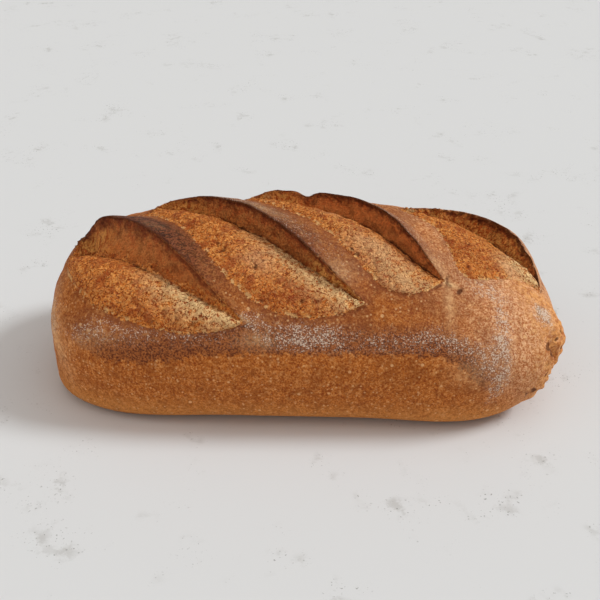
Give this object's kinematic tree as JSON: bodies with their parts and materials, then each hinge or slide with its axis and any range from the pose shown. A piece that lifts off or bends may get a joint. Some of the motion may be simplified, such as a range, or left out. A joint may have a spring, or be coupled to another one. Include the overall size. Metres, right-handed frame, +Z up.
{
  "type": "spelt bread loaf",
  "caption": "Long hearth-baked spelt loaf with slanting slashes opened into lifted ears, rounded sides and a flat base to rest on.",
  "frame": {"origin": "centre of the loaf's outline on the surface that it rests on", "axes": "+X along the loaf towards its more pointed end, +Y towards its back, +Z up"},
  "size_m": [0.2814, 0.1348, 0.1002],
  "materials": {
    "crust": null
  },
  "bodies": {
    "root": {"loaf": "crust"}
  },
  "joints": []
}
